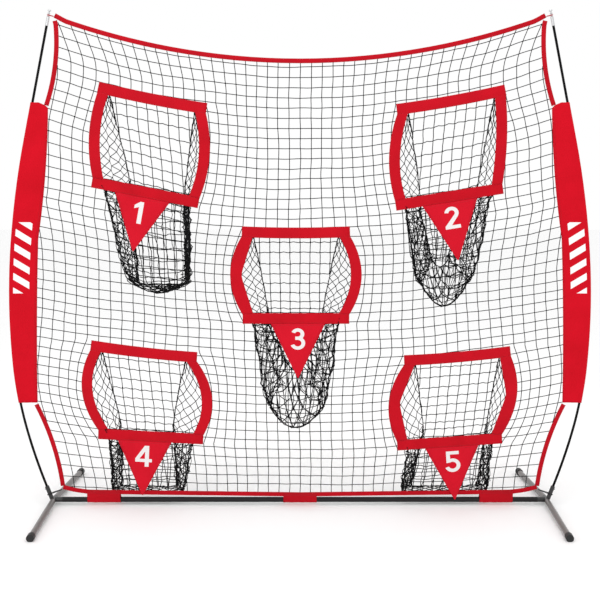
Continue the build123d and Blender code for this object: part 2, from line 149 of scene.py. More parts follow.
def corner_steel():
    """The corner's arms match the legs, and its bar stub and pole socket are black: the arms lie beyond
    30 mm of the bar's line and below the socket."""
    material, tree, bsdf, place, grey = coated_steel("powder_coated_steel_corner", "#4c4644", "#6b6462", 0.32)
    split = add(tree, "ShaderNodeSeparateXYZ", {"Vector": place})
    reach = add(tree, "ShaderNodeMath", {0: split.outputs["Y"]}, operation="ABSOLUTE")
    on_arm = add(tree, "ShaderNodeMath", {0: reach.outputs[0], 1: 0.030}, operation="GREATER_THAN")
    low = add(tree, "ShaderNodeMath", {0: split.outputs["Z"], 1: 0.045}, operation="LESS_THAN")
    arm = add(tree, "ShaderNodeMath", {0: on_arm.outputs[0], 1: low.outputs[0]}, operation="MULTIPLY")
    mixed = add(tree, "ShaderNodeMix", {"Factor": arm.outputs[0]}, data_type="RGBA")
    mixed.inputs["A"].default_value = linear("#151516")
    tree.links.new(grey.outputs["Result"], mixed.inputs["B"])
    tree.links.new(mixed.outputs["Result"], bsdf.inputs["Base Color"])
    return material


def bare_metal(name, colour, roughness, scale):
    """Plated or turned steel: fine marks vary its polish, so highlights break up."""
    material, tree, bsdf = start_material(name, Base_Color=linear(colour), Metallic=1.0)
    place = add(tree, "ShaderNodeTexCoord").outputs["Object"]
    marks = add(tree, "ShaderNodeTexNoise", {"Vector": place, "Scale": scale, "Detail": 4.0})
    spread = add(tree, "ShaderNodeMapRange", {
        "Value": marks.outputs["Fac"], "To Min": roughness - 0.08, "To Max": roughness + 0.12})
    tree.links.new(spread.outputs["Result"], bsdf.inputs["Roughness"])
    return material


def grained(name, colour, roughness, scale, **shader):
    """Moulded or pultruded plastic: a fine even grain that dulls the highlight."""
    material, tree, bsdf = start_material(name, Base_Color=linear(colour), Roughness=roughness, **shader)
    place = add(tree, "ShaderNodeTexCoord").outputs["Object"]
    grain = add(tree, "ShaderNodeTexNoise", {"Vector": place, "Scale": scale, "Detail": 2.0})
    bump = add(tree, "ShaderNodeBump", {"Height": grain.outputs["Fac"], "Strength": 0.3, "Distance": 0.0003})
    tree.links.new(bump.outputs["Normal"], bsdf.inputs["Normal"])
    return material


finish_nodes(("corner_fitting",), corner_steel())
finish_nodes(("base_bar",), coated_steel("powder_coated_steel_black", "#0b0b0c", "#161617", 0.5, 0.0, 0.3)[0])
finish_nodes(("front_leg", "rear_leg"),
             coated_steel("powder_coated_steel_gunmetal", "#4c4644", "#6b6462", 0.32)[0])
finish_nodes(("front_cap", "rear_cap"), grained("moulded_polyethylene_black", "#131313", 0.55, 700.0))
finish_nodes(("snap_", "socket_screws"), bare_metal("zinc_plated_steel", "#b9bbbd", 0.3, 300.0))

# ---- Bow poles ----------------------------------------------------------------
# Pultruded fibreglass rods in three lengths a side, joined by steel ferrules
# inside the sleeves, each with a turned tip whose groove holds the net.

finish_nodes(("pole_lower", "pole_middle", "pole_upper"),
             grained("pultruded_fibreglass_black", "#050506", 0.6, 900.0, Specular_IOR_Level=0.1))
finish_nodes(("pole_tip", "pole_ferrules"), bare_metal("turned_steel", "#cfd0d1", 0.34, 220.0))

# ---- Main net -----------------------------------------------------------------
# Mesh of black twisted polyethylene cord, knotted by machine at about 2 inches. The bows
# stretch it, so its cells hang wider than they are tall, most of all towards the ground.

column_pitch = 0.0562
row_pitch = 0.0466
net_low, net_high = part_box("net_panel")
net_y = (net_low.y + net_high.y) / 2
steps_per_cell = 3
half_span = 1.2
column_step = column_pitch / steps_per_cell
row_step = row_pitch / steps_per_cell

# How far each row rises from the middle to the sides, by its height.
row_rise = [(0.0, 0.03), (0.3, 0.09), (0.6, 0.10), (1.0, 0.11), (1.4, 0.14), (1.8, 0.19), (2.2, 0.212)]
# How far the outer columns lean in towards the middle, by height.
column_lean = [(0.0, 0.10), (0.55, 0.0), (1.1, -0.03), (1.6, 0.02), (2.0, 0.075), (2.25, 0.0)]
# How much the middle columns close up near the top, where nothing pulls them sideways, by height.
middle_gather = [(1.2, 0.0), (1.9, 0.055)]
# Rows stand further apart with height: each metre above the first adds twice this share to their pitch.
row_growth = 0.022


def read_table(table, where):
    """Smoothly read a short list of (place, value) pairs."""
    for (a, low), (b, high) in zip(table, table[1:]):
        if where <= b:
            t = min(max((where - a) / (b - a), 0), 1)
            return low + (high - low) * t * t * (3 - 2 * t)
    return table[-1][1]


def solid_tree(node_name):
    """A search tree over a CAD node's mesh."""
    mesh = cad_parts[node_name].data
    return BVHTree.FromPolygons([v.co for v in mesh.vertices], [p.vertices for p in mesh.polygons])


def rim_shape(number):
    """The CAD rim's four outer corners and the middles of its two bowed sides, as (x, z)."""
    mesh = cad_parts[f"pocket_rim_{number}"].data
    points = [Vector((v.co.x, v.co.z)) for v in mesh.vertices]
    tree = solid_tree(f"pocket_rim_{number}")
    rim_y = sum(v.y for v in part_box(f"pocket_rim_{number}")) / 2
    corner = {name: max(points, key=lambda p: p.dot(Vector(way))) for name, way in
              (("tl", (-1, 1)), ("tr", (1, 1)), ("br", (1, -1)), ("bl", (-1, -1)))}
    for name, upper, lower, side in (("left", "tl", "bl", -1), ("right", "tr", "br", 1)):
        z = (corner[upper].y + corner[lower].y) / 2
        x = tree.ray_cast(Vector((side * 3, rim_y, z)), Vector((-side, 0, 0)))[0].x
        corner[name] = Vector((x, z))
    return corner


rim_corners = {number: rim_shape(number) for number in range(1, 6)}
rim_pull_reach = 0.16


def rim_pull(x, z):
    """How far sideways the bowed sides of the rims push the net beside them."""
    push = 0.0
    for corner in rim_corners.values():
        for word, upper, lower, side in (("left", "tl", "bl", -1), ("right", "tr", "br", 1)):
            top, low = corner[upper], corner[lower]
            t = (2 * z - top.y - low.y) / (top.y - low.y)
            straight = (top + (low - top) * (1 - t) / 2).x
            away = (x - straight) * side
            if abs(t) < 1 and away > -0.02:
                bow = (corner[word].x - (top.x + low.x) / 2) * side
                push += side * bow * (1 - t * t) * math.exp(-away / rim_pull_reach)
    return push


def net_place(column, row):
    """Where the net's own (column, row) place hangs, as (x, z)."""
    lean = read_table(column_lean, row) * min(abs(column), 1.0) ** 1.5
    x = column - math.copysign(lean, column)
    x *= 1 - read_table(middle_gather, row) * max(1 - (x / half_span) ** 2, 0)
    z = row + row_growth * (row - 1.0) ** 2 + read_table(row_rise, row) * (x / half_span) ** 2
    x += rim_pull(x, z)
    drift = Vector((x * 3.1, z * 3.1, 7.0))
    ripple = Vector((x * 13.0, z * 13.0, 2.0))
    x += 0.010 * noise.noise(drift) + 0.0030 * noise.noise(ripple)
    z += 0.008 * noise.noise(drift + Vector((40, 0, 0))) + 0.0026 * noise.noise(ripple + Vector((0, 40, 0)))
    return x, z


panel_tree = solid_tree("net_panel")


def on_panel(x, z):
    return panel_tree.ray_cast(Vector((x, -1.0, z)), Vector((0, 1, 0)))[0] is not None


def cut_runs(points):
    """The runs of a cord that lie on the panel, each ended at the panel's own edge."""
    runs, run = [], []
    previous = None
    for point in points:
        inside = on_panel(*point[:2])
        if previous is not None and inside != previous[1]:
            near, far = (point, previous[0]) if inside else (previous[0], point)
            for _ in range(7):
                middle = tuple((p + q) / 2 for p, q in zip(near[:2], far[:2]))
                if on_panel(*middle):
                    near = middle
                else:
                    far = middle
            run.append((near[0], near[1], False))
            if not inside:
                runs.append(run)
                run = []
        if inside:
            run.append(point)
        previous = (point, inside)
    return [r for r in runs + [run] if len(r) > 2]


def line_mesh(name, runs):
    """One mesh of loose lines of (x, y, z, knot); the attribute knot marks the crossings."""
    vertices, edges = [], []
    for run in runs:
        first = len(vertices)
        vertices += [point[:3] for point in run]
        edges += [(i, i + 1) for i in range(first, len(vertices) - 1)]
    mesh = bpy.data.meshes.new(name)
    mesh.from_pydata(vertices, edges, [])
    knots = mesh.attributes.new("knot", "BOOLEAN", "POINT")
    knots.data.foreach_set("value", [bool(len(point) > 3 and point[3]) for run in runs for point in run])
    return mesh


def new_group(name, sizes):
    """A Geometry Nodes tree with a geometry in and out, and its named sizes."""
    tree = bpy.data.node_groups.new(name, "GeometryNodeTree")
    tree.interface.new_socket("Geometry", in_out="INPUT", socket_type="NodeSocketGeometry")
    for label, kind in sizes:
        tree.interface.new_socket(label, in_out="INPUT", socket_type=kind)
    tree.interface.new_socket("Geometry", in_out="OUTPUT", socket_type="NodeSocketGeometry")
    return tree, add(tree, "NodeGroupInput").outputs


def end_group(tree, geometry, material):
    real = add(tree, "GeometryNodeRealizeInstances", {"Geometry": geometry})
    painted = add(tree, "GeometryNodeSetMaterial", {"Geometry": real.outputs[0], "Material": material})
    tree.links.new(painted.outputs[0], tree.nodes.new("NodeGroupOutput").inputs[0])
    return tree


def knotted_cord_group():
    """Lines become round cord, with a small faceted knot at each marked crossing."""
    tree, given = new_group("knotted_cord", [
        ("Cord Radius", "NodeSocketFloat"), ("Knot Radius", "NodeSocketFloat"),
        ("Cord Sides", "NodeSocketInt"), ("Material", "NodeSocketMaterial")])
    line = add(tree, "GeometryNodeMeshToCurve", {"Mesh": given["Geometry"]})
    ring = add(tree, "GeometryNodeCurvePrimitiveCircle",
               {"Resolution": given["Cord Sides"], "Radius": given["Cord Radius"]})
    tube = add(tree, "GeometryNodeCurveToMesh", {
        "Curve": line.outputs["Curve"], "Profile Curve": ring.outputs["Curve"], "Fill Caps": True})
    marked = add(tree, "GeometryNodeInputNamedAttribute", {"Name": "knot"}, data_type="BOOLEAN")
    ball = add(tree, "GeometryNodeMeshIcoSphere", {"Radius": given["Knot Radius"], "Subdivisions": 1})
    turn = add(tree, "FunctionNodeRandomValue", {"Seed": 11, "Max": (6.28, 6.28, 6.28)},
               data_type="FLOAT_VECTOR")
    size = add(tree, "FunctionNodeRandomValue", {"Seed": 12, 2: 0.8, 3: 1.2}, data_type="FLOAT")
    knots = add(tree, "GeometryNodeInstanceOnPoints", {
        "Points": given["Geometry"], "Instance": ball.outputs["Mesh"],
        "Selection": marked.outputs["Attribute"], "Rotation": turn.outputs["Value"],
        "Scale": size.outputs[1]})
    both = add(tree, "GeometryNodeJoinGeometry")
    tree.links.new(tube.outputs["Mesh"], both.inputs[0])
    tree.links.new(knots.outputs["Instances"], both.inputs[0])
    return end_group(tree, both.outputs[0], given["Material"])


def grow(name, mesh, group, values):
    """Run a Geometry Nodes group on a mesh, and keep the result as a plain mesh object."""
    source = new_object(name + "_lines", mesh)
    modifier = source.modifiers.new("grow", "NODES")
    modifier.node_group = group
    for item in group.interface.items_tree:
        if item.in_out == "INPUT" and item.name in values:
            modifier[item.identifier] = values[item.name]
    bpy.context.view_layer.update()
    shaped = source.evaluated_get(bpy.context.evaluated_depsgraph_get())
    result = bpy.data.meshes.new_from_object(shaped)
    bpy.data.objects.remove(source)
    return new_object(name, result)


def twisted_cord(name, dark, light, beat):
    """Twisted cord: painted shade in the grooves of the lay and painted highlight on the strands give a short
    dark-and-light beat, drawn at `beat` metres so that it shows.
    """
    material, tree, bsdf = start_material(name, Roughness=0.7, Specular_IOR_Level=0.08)
    place = add(tree, "ShaderNodeTexCoord").outputs["Object"]
    lay = add(tree, "ShaderNodeTexWave", {"Vector": place, "Scale": 0.314 / beat, "Distortion": 1.2},
              bands_direction="DIAGONAL")
    # Painted shade and highlight: the lay's wave mixes the dark and light colours into the base colour; the
    # same wave also bumps the surface.
    painted_lay_shading = add(tree, "ShaderNodeMix", {"Factor": lay.outputs["Fac"]}, data_type="RGBA")
    painted_lay_shading.inputs["A"].default_value = linear(dark)
    painted_lay_shading.inputs["B"].default_value = linear(light)
    tree.links.new(painted_lay_shading.outputs["Result"], bsdf.inputs["Base Color"])
    bump = add(tree, "ShaderNodeBump", {"Height": lay.outputs["Fac"], "Strength": 0.5, "Distance": 0.0004})
    tree.links.new(bump.outputs["Normal"], bsdf.inputs["Normal"])
    return material


def place_piece(piece, body, slot, *nodes):
    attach(piece, body)
    if nodes:
        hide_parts(*nodes)


net_cord = twisted_cord("twisted_polyethylene_cord_black", "#050506", "#1c1c1e", 0.0012)
cord_group = knotted_cord_group()
layer_gap = 0.0004
cord_y = net_y + 0.001
columns = int(net_high.x / column_pitch) + 2
rows = int((net_high.z + 0.03) / row_pitch)
runs = []
for i in range(-columns, columns + 1):
    line = [(*net_place(i * column_pitch, j * row_step), j % steps_per_cell == 0)
            for j in range(rows * steps_per_cell)]
    runs += [[(x, cord_y - layer_gap, z, knot) for x, z, knot in run] for run in cut_runs(line)]
for j in range(rows):
    line = [(*net_place(i * column_step, j * row_pitch), False)
            for i in range(-columns * steps_per_cell, columns * steps_per_cell)]
    runs += [[(x, cord_y + layer_gap, z, knot) for x, z, knot in run] for run in cut_runs(line)]
main_net = grow("main_net", line_mesh("main_net", runs), cord_group, {
    "Cord Radius": 0.0019, "Knot Radius": 0.0034, "Cord Sides": 4, "Material": net_cord})
place_piece(main_net, "frame", "net_cord", "net_panel")

# ---- Edge tapes ---------------------------------------------------------------
# Red polyester webbing folded over the cut edge of the net and lock-stitched:
# one run along the top, one along the bottom and two down each side.


def woven_red(name, dark, light, thread, roughness):
    """Dyed polyester in plain weave: a slight sheen, and a fine grid that is drawn at `thread` metres,
    coarser than the real thread so that it shows. Creases catch the light, and broad patches of painted shade
    make the red darker and lighter."""
    material, tree, bsdf = start_material(
        name, Roughness=roughness, Sheen_Weight=0.03, Sheen_Roughness=0.5, Specular_IOR_Level=0.1)
    flat = add(tree, "ShaderNodeTexCoord").outputs["UV"]
    warp = add(tree, "ShaderNodeTexWave", {"Vector": flat, "Scale": 0.314 / thread}, bands_direction="X")
    weft = add(tree, "ShaderNodeTexWave", {"Vector": flat, "Scale": 0.314 / thread}, bands_direction="Y")
    cloth = add(tree, "ShaderNodeMath", {0: warp.outputs["Fac"], 1: weft.outputs["Fac"]}, operation="ADD")
    place = add(tree, "ShaderNodeTexCoord").outputs["Object"]
    # Painted shade: broad noise patches mix the dark and light reds into the base colour.
    painted_shade_patches = add(tree, "ShaderNodeTexNoise", {"Vector": place, "Scale": 9.0, "Detail": 4.0})
    tint = add(tree, "ShaderNodeMix", {"Factor": painted_shade_patches.outputs["Fac"]}, data_type="RGBA")
    tint.inputs["A"].default_value = linear(dark)
    tint.inputs["B"].default_value = linear(light)
    tree.links.new(tint.outputs["Result"], bsdf.inputs["Base Color"])
    creases = add(tree, "ShaderNodeTexNoise", {
        "Vector": place, "Scale": 38.0, "Detail": 3.0, "Distortion": 0.8})
    deep = add(tree, "ShaderNodeBump", {
        "Height": creases.outputs["Fac"], "Strength": 0.35, "Distance": 0.004})
    bump = add(tree, "ShaderNodeBump", {
        "Height": cloth.outputs[0], "Strength": 0.25, "Distance": 0.0004, "Normal": deep.outputs["Normal"]})
    tree.links.new(bump.outputs["Normal"], bsdf.inputs["Normal"])
    return material, tree, bsdf, tint


webbing = woven_red("woven_polyester_webbing_red", "#a40213", "#c2061d", 0.002, 0.6)[0]
thread_red = grained("spun_polyester_thread_red", "#8e0a1c", 0.6, 1500.0)


def even_steps(points, step):
    """An (x, z) line with points at equal distances, and its length."""
    points = np.array(points, float)
    gaps = np.linalg.norm(np.diff(points, axis=0), axis=1)
    total = np.concatenate([[0], np.cumsum(gaps)])
    count = max(int(round(total[-1] / step)), 2)
    wanted = np.linspace(0, total[-1], count + 1)
    return np.stack([np.interp(wanted, total, points[:, k]) for k in (0, 1)], axis=1), total[-1]


def beside(line, distance):
    """An (x, z) line moved square to itself, to its left when distance is positive."""
    tangent = np.gradient(line, axis=0)
    tangent /= np.linalg.norm(tangent, axis=1)[:, None]
    return line + np.stack([-tangent[:, 1], tangent[:, 0]], axis=1) * distance


def outward_faces(piece):
    edit = bmesh.new()
    edit.from_mesh(piece.data)
    bmesh.ops.recalc_face_normals(edit, faces=edit.faces)
    edit.to_mesh(piece.data)
    edit.free()


def thicken(piece, wall):
    """Give an open sheet its thickness, half to each side."""
    solid = piece.modifiers.new("thickness", "SOLIDIFY")
    solid.thickness = wall
    solid.offset = 0


def cloth_grid(name, rings, uv_rings, material, wall):
    """An open sheet from equal rings of points, given its cloth thickness."""
    wide = len(rings[0])
    faces = []
    for i in range(len(rings) - 1):
        for k in range(wide - 1):
            a = i * wide + k
            faces.append((a, a + 1, a + 1 + wide, a + wide))
    mesh = bpy.data.meshes.new(name)
    mesh.from_pydata([p for ring in rings for p in ring], [], faces)
    flat = [p for ring in uv_rings for p in ring]
    layer = mesh.uv_layers.new(name="UVMap")
    for loop in mesh.loops:
        layer.data[loop.index].uv = flat[loop.vertex_index]
    for polygon in mesh.polygons:
        polygon.use_smooth = True
    mesh.materials.append(material)
    piece = new_object(name, mesh)
    outward_faces(piece)
    thicken(piece, wall)
    return piece


# One layer from the sewn edge to the fold, as (share of the width, share of half the gap).
# The two rows of stitches pull it in at about a tenth and nine tenths of the width.
layer_profile = [
    (0.0, 0.5), (0.09, 0.42), (0.22, 0.95), (0.5, 1.0), (0.78, 0.95), (0.91, 0.5), (0.97, 0.45), (1.0, 0.0),
]


def folded_strip(name, sewn, fold, gap, wall, material, pucker=0.0, rows=(0.09, 0.91), middle_y=net_y):
    """Cloth folded along one edge and sewn shut along the other. Returns the piece, its flat size and the
    lines of its stitches, front and back."""
    profile = [(u, s, -1) for u, s in layer_profile] + [(u, s, 1) for u, s in layer_profile[-2::-1]]
    steps = np.linalg.norm(np.diff(sewn, axis=0), axis=1)
    run = np.concatenate([[0], np.cumsum(steps)])
    rings, uv_rings = [], []
    lines = {(u, face): [] for u in rows for face in (-1, 1)}
    for i, (a, b) in enumerate(zip(sewn, fold)):
        width = float(np.linalg.norm(b - a))
        ring, flat = [], []
        for u, share, face in profile:
            x, z = a + (b - a) * u
            crease = pucker * noise.noise(Vector((x * 26, z * 26, 3.0 * face)))
            y = middle_y + face * (gap / 2 * share + (pucker + crease) * share)
            ring.append((x, y, z))
            flat.append((run[i], width * (u if face < 0 else 2 - u)))
        rings.append(ring)
        uv_rings.append(flat)
        for u, face in lines:
            x, z = a + (b - a) * u
            share = np.interp(u, *zip(*layer_profile))
            crease = pucker * noise.noise(Vector((x * 26, z * 26, 3.0 * face)))
            depth = gap / 2 * share + (pucker + crease) * share + wall * 0.55
            lines[u, face].append((x, middle_y + face * depth, z))
    piece = cloth_grid(name, rings, uv_rings, material, wall)
    mean_width = float(np.mean(np.linalg.norm(np.array(fold) - np.array(sewn), axis=1)))
    return piece, (2 * mean_width, float(run[-1])), list(lines.values())


def stitch_group():
    """Short lengths of thread laid end to end along lines."""
    tree, given = new_group("lock_stitches", [
        ("Pitch", "NodeSocketFloat"), ("Stitch Length", "NodeSocketFloat"),
        ("Thread Radius", "NodeSocketFloat"), ("Material", "NodeSocketMaterial")])
    line = add(tree, "GeometryNodeMeshToCurve", {"Mesh": given["Geometry"]})
    even = add(tree, "GeometryNodeResampleCurve", {"Curve": line.outputs[0], "Length": given["Pitch"]},
               mode="LENGTH")
    tangent = add(tree, "GeometryNodeInputTangent")
    turn = add(tree, "FunctionNodeAlignRotationToVector", {"Vector": tangent.outputs[0]}, axis="Z")
    thread = add(tree, "GeometryNodeMeshCylinder", {
        "Vertices": 4, "Radius": given["Thread Radius"], "Depth": given["Stitch Length"]})
    laid = add(tree, "GeometryNodeInstanceOnPoints", {
        "Points": even.outputs[0], "Instance": thread.outputs["Mesh"], "Rotation": turn.outputs[0]})
    return end_group(tree, laid.outputs[0], given["Material"])


stitches = stitch_group()


def sew(name, lines, body, slot, material=thread_red):
    """Stitches 5 mm long at a 7 mm pitch, in thread drawn a little thick so that it shows."""
    piece = grow(name, line_mesh(name, lines), stitches, {
        "Pitch": 0.007, "Stitch Length": 0.005, "Thread Radius": 0.00045, "Material": material})
    place_piece(piece, body, slot)


tape_half = 0.011
tape_gap = 0.0024
tape_wall = 0.0007


def edge_tape(name, middle_line, side, *nodes):
    """A tape along a line; side is +1 where its fold lies to the left of the line."""
    line, _ = even_steps(middle_line, 0.02)
    sewn, fold = beside(line, -side * tape_half), beside(line, side * tape_half)
    piece, flat, lines = folded_strip(name, sewn, fold, tape_gap, tape_wall, webbing, 0.0002, (0.12,))
    place_piece(piece, "frame", "red_webbing", *nodes)
    return lines


def middle_across(tree, x, low, high):
    """The height of a strip's middle at x, found from below and above."""
    from_below = tree.ray_cast(Vector((x, net_y, low)), Vector((0, 0, 1)))[0]
    from_above = tree.ray_cast(Vector((x, net_y, high)), Vector((0, 0, -1)))[0]
    return (from_below.z + from_above.z) / 2


def strip_beside(tree, z, side):
    """A side strip's middle at a height, found from outside the net."""
    inward = Vector((-side, 0, 0))
    outer = tree.ray_cast(Vector((side * 1.7, net_y, z)), inward)[0]
    inner = tree.ray_cast(outer + inward * 0.0005, inward)[0]
    return (outer.x + inner.x) / 2


lines = []
for word, fold_side in (("top", 1), ("bottom", -1)):
    tree = solid_tree(f"{word}_tape")
    low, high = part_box(f"{word}_tape")
    inner_x = high.x - 0.012
    middle_line = [(x, middle_across(tree, x, low.z - 0.1, high.z + 0.1))
                   for x in np.linspace(-inner_x, inner_x, 61)]
    ends = [middle_line[0], middle_line[-1]]
    middle_line = [(-inner_x - 0.01, 2 * ends[0][1] - middle_line[1][1])] + middle_line[1:-1]
    middle_line += [(inner_x + 0.01, 2 * ends[1][1] - middle_line[-1][1])]
    lines += edge_tape(f"{word}_binding", middle_line, fold_side, f"{word}_tape")

sleeve_low, sleeve_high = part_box("sleeve_left")
tape_low, tape_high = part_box("side_tape_left")
for side, word in ((-1, "left"), (1, "right")):
    tree = solid_tree(f"side_tape_{word}")
    for part, low, high in (("lower", tape_low.z + 0.012, sleeve_low.z + 0.002),
                            ("upper", sleeve_high.z - 0.024, tape_high.z - 0.014)):
        middle_line = [(strip_beside(tree, z, side), z) for z in np.linspace(low, high, 24)]
        lines += edge_tape(f"side_binding_{part}_{word}", middle_line, -side, f"side_tape_{word}")
sew("tape_stitches", lines, "frame", "red_webbing")

# ---- Pole sleeves -------------------------------------------------------------
# Red polyester cut in a long curve, folded round each bow and sewn to the net's
# edge. The bow's spring keeps it tight, with a few shallow drag lines.

wrap_r = 0.0088
seam_half = 0.0016
sleeve_wall = 0.0008
seam_cover = 0.010


def sleeve_cloth():
    """Woven red with a printed white block of slanted bars, 350 mm long and 78 mm wide."""
    material, tree, bsdf, tint = woven_red("woven_polyester_sleeve_red", "#bb0014", "#d40420", 0.0025, 0.68)
    split = add(tree, "ShaderNodeSeparateXYZ", {"Vector": add(tree, "ShaderNodeTexCoord").outputs["UV"]})
    slant = add(tree, "ShaderNodeMath", {0: split.outputs["Y"], 1: 0.6, 2: split.outputs["X"]},
                operation="MULTIPLY_ADD")
    beat = add(tree, "ShaderNodeMath", {0: slant.outputs[0], 1: 0.036}, operation="PINGPONG")
    printed = add(tree, "ShaderNodeMath", {0: beat.outputs[0], 1: 0.017}, operation="LESS_THAN").outputs[0]
    for axis, test, limit in (("X", "GREATER_THAN", 0.55), ("X", "LESS_THAN", 0.90),
                              ("Y", "GREATER_THAN", 0.022), ("Y", "LESS_THAN", 0.100)):
        passed = add(tree, "ShaderNodeMath", {0: split.outputs[axis], 1: limit}, operation=test)
        both = add(tree, "ShaderNodeMath", {0: printed, 1: passed.outputs[0]}, operation="MULTIPLY")
        printed = both.outputs[0]
    inked = add(tree, "ShaderNodeMix", {"Factor": printed}, data_type="RGBA")
    tree.links.new(tint.outputs["Result"], inked.inputs["A"])
    inked.inputs["B"].default_value = linear("#f1f1f1")
    tree.links.new(inked.outputs["Result"], bsdf.inputs["Base Color"])
    return material


def sleeve_section(outer, inner, side, z, run, length):
    """One level of a sleeve: from the net's edge, round the pole and back, as points and flat places."""
    axis_x = outer - side * wrap_r
    edge_x = inner - side * seam_cover
    half = []
    for t in (0.0, 0.1, 0.22, 0.4, 0.6, 0.8, 0.93):
        bulge = seam_half + (wrap_r - seam_half) * t ** 1.6
        half.append((edge_x + (axis_x - edge_x) * t, bulge))
    arc = [(axis_x + side * wrap_r * math.cos(a), wrap_r * math.sin(a))
           for a in np.linspace(-math.pi / 2, math.pi / 2, 9)]
    section = [(x, -y) for x, y in half] + arc + half[::-1]
    near_end = min(run, length - run)
    ring, flat = [], []
    for x, y in section:
        drag = 0.0022 * noise.noise(Vector((x * 11, z * 2.6, 5 + side)))
        drag += 0.0018 * math.exp(-near_end / 0.07) * math.sin(x * 230)
        loose = 1 if seam_half < abs(y) < wrap_r * 0.97 else 0
        ring.append((x, net_y + y + math.copysign(drag * loose, y), z))
        flat.append((run, abs(x - outer)))
    return ring, flat


sleeve_fabric = sleeve_cloth()
lines = []
for side, word in ((-1, "left"), (1, "right")):
    low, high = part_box(f"sleeve_{word}")
    tree = solid_tree(f"sleeve_{word}")
    edges = []
    for z in np.linspace(low.z + 0.012, high.z - 0.010, 110):
        outer = tree.ray_cast(Vector((side * 1.7, net_y, z)), Vector((-side, 0, 0)))[0]
        inner = tree.ray_cast(Vector((0, net_y, z)), Vector((side, 0, 0)))[0]
        edges.append((outer.x, inner.x, z))
    steps = [math.hypot(b[0] - a[0], b[2] - a[2]) for a, b in zip(edges, edges[1:])]
    runs = np.concatenate([[0], np.cumsum(steps)])
    rings, uv_rings = zip(*[sleeve_section(outer, inner, side, z, run, runs[-1])
                            for (outer, inner, z), run in zip(edges, runs)])
    cover = cloth_grid(f"pole_sleeve_{word}", rings, uv_rings, sleeve_fabric, sleeve_wall)
    place_piece(cover, "frame", "sleeve_fabric", f"sleeve_{word}")
    for face in (-1, 1):
        for setback in (0.004, 0.012):
            lines.append([(inner - side * (seam_cover - setback), net_y + face * (seam_half + 0.0012), z)
                          for _, inner, z in edges])
sew("sleeve_stitches", lines, "frame", "sleeve_fabric")

# ---- Ground bands -------------------------------------------------------------
# Three loops of the same red cloth, sewn to the bottom tape and passed round
# the ground bar to hold the net down.

bar_low, bar_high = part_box("base_bar_right")
bar_z = (bar_low.z + bar_high.z) / 2
bar_r = (bar_high.z - bar_low.z) / 2
band_wall = 0.0012
band_r = bar_r + band_wall
band_lap = 0.006
band_front = 0.0048
bottom_tree = solid_tree("bottom_tape")
lines = []
for word in ("left", "centre", "right"):
    low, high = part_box(f"bar_band_{word}")
    rings, uv_rings = [], []
    stations = np.linspace(low.x + 0.001, high.x - 0.001, 36)
    for x in stations:
        top = middle_across(bottom_tree, x, 0.0, 0.3) + band_lap
        apex = Vector((net_y, top))
        to_apex = apex - Vector((0, bar_z))
        spread = math.acos(band_r / to_apex.length)
        heading = math.atan2(to_apex.y, to_apex.x)
        angles = np.linspace(heading + spread, heading + 2 * math.pi - spread, 18)
        section = [Vector((math.cos(a) * band_r, bar_z + math.sin(a) * band_r)) for a in angles]
        front_top, back_top = apex + Vector((-0.0028, 0)), apex + Vector((0.0028, 0))
        front_half, back_half = front_top.lerp(section[0], 0.5), back_top.lerp(section[-1], 0.5)
        section = [front_top, front_half] + section + [back_half, back_top]
        ring, flat, run = [], [], 0.0
        for k, point in enumerate(section):
            run += (point - section[k - 1]).length if k else 0
            crease = 0.0012 * noise.noise(Vector((x * 40, run * 60, 9)))
            out = (point - Vector((0, bar_z))).normalized() * (crease + 0.0004)
            ring.append((x, point.x + out.x, point.y + out.y))
            flat.append((x, run))
        rings.append(ring)
        uv_rings.append(flat)
    band = cloth_grid(f"ground_band_{word}", rings, uv_rings, webbing, band_wall)
    place_piece(band, "frame", "red_webbing", f"bar_band_{word}")
    for drop in (0.004, 0.011):
        lines.append([(x, net_y - band_front, middle_across(bottom_tree, x, 0.0, 0.3) + band_lap - drop)
                      for x in stations[1:-1]])
sew("band_stitches", lines, "frame", "red_webbing")

# ---- Corner loops -------------------------------------------------------------
# Braided elastic ties the net's lower corners to the pole sockets, and a thin cord
# loop at each upper corner drops into the groove of the pole's tip.

finish_nodes(("bottom_loop",), twisted_cord("braided_elastic_black", "#0d0d0e", "#303033", 0.0016))
finish_nodes(("top_loop",), twisted_cord("braided_nylon_cord_red", "#8e0a1c", "#c0142e", 0.0014))

# ---- Pocket rims --------------------------------------------------------------
# Each opening is bound by four strips of red polyester, 53 mm wide when folded:
# square-cut strips above and below, and two at the sides that the net pulls out.

rim_width = 0.053
rim_gap = 0.0030
rim_wall = 0.0008
rim_overhang = 0.0008
side_start = 0.84
rim_cloth = woven_red("woven_polyester_rim_red", "#ac0214", "#cb061e", 0.0022, 0.62)[0]


def curve_through(a, middle, b, count):
    """A smooth bow through three (x, z) points."""
    control = 2 * middle - (a + b) / 2
    return np.array([a * (1 - t) ** 2 + control * 2 * t * (1 - t) + b * t * t
                     for t in np.linspace(0, 1, count)])


def bent_line(a, middle, b, count, softness=0.05):
    """Two straight runs that meet at a softened corner."""
    line = []
    for t in np.linspace(0, 1, count):
        near = math.exp(-((t - 0.5) / softness) ** 2)
        straight = a.lerp(middle, t * 2) if t < 0.5 else middle.lerp(b, t * 2 - 1)
        line.append(straight + ((a + b) / 2 - middle) * near * 0.04)
    return np.array(line)


